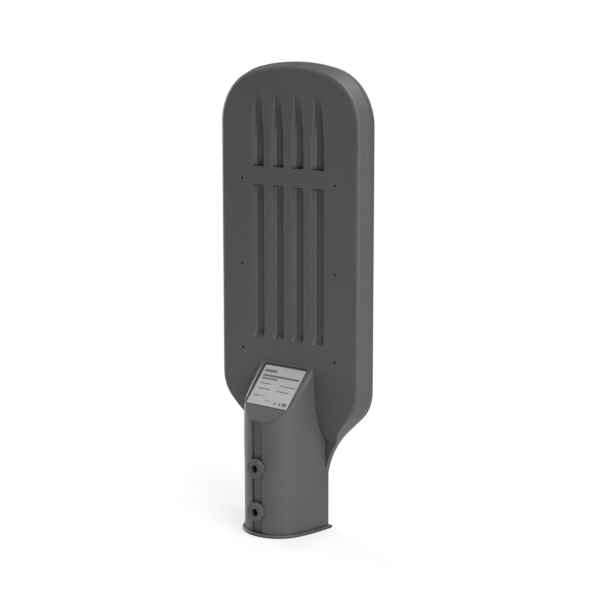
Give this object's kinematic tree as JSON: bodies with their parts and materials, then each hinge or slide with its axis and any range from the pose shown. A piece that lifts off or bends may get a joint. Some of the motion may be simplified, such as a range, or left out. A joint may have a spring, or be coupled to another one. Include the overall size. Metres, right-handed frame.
{
  "type": "led street light head",
  "caption": "Cast LED street light head with grooved back, slanted label face and a D section pole socket with tapped bosses for clamp screws.",
  "frame": {"origin": "on the axis of the pole socket's bore, in the plane of its mouth", "axes": "+X across the head, +Y from the grooved back to the lit front, +Z from the socket to the tip of the head"},
  "size_m": [0.18, 0.0732, 0.455],
  "materials": {
    "cast_grey_paint": "textured powder coat",
    "grey_silicone": "matt silicone",
    "stainless": "bright stainless",
    "pad_silicone": "soft silicone sheet",
    "white_solder_mask": "white solder mask on metal core board",
    "phosphor": "yellow phosphor",
    "white_nylon": "moulded nylon",
    "clear_polycarbonate": "clear polycarbonate",
    "driver_plastic": "moulded plastic",
    "circuit_green": "green circuit board",
    "transformer_tape": "taped winding",
    "capacitor_sleeve": "sleeved can",
    "terminal_brass": "plated brass",
    "black_nylon": "moulded nylon",
    "black_rubber": "rubber",
    "label_foil": "silver foil",
    "lead_green_yellow": "insulated wire",
    "lead_red": "insulated wire",
    "lead_black": "insulated wire",
    "lead_blue": "insulated wire",
    "lead_brown": "insulated wire"
  },
  "bodies": {
    "root": {"housing": "cast_grey_paint", "front_cover": "cast_grey_paint", "cover_gasket": "grey_silicone", "cover_screws": "stainless", "thermal_pad": "pad_silicone", "led_board": "white_solder_mask", "led_packages": "phosphor", "board_screws": "stainless", "board_connector": "white_nylon", "lens_plate": "clear_polycarbonate", "lens_gasket": "grey_silicone", "driver_case": "driver_plastic", "driver_lid": "driver_plastic", "driver_circuit": "circuit_green", "driver_transformer": "transformer_tape", "driver_capacitor": "capacitor_sleeve", "driver_screws": "stainless", "terminal_block": "white_nylon", "terminal_screws": "terminal_brass", "earth_lug": "terminal_brass", "earth_washer": "stainless", "earth_screw": "stainless", "gland_body": "black_nylon", "gland_seal": "black_rubber", "gland_cap": "black_nylon", "gland_locknut": "black_nylon", "rating_label": "label_foil", "earth_lead": "lead_green_yellow", "output_lead_red": "lead_red", "output_lead_black": "lead_black", "input_lead_blue": "lead_blue", "input_lead_brown": "lead_brown"}
  },
  "joints": []
}
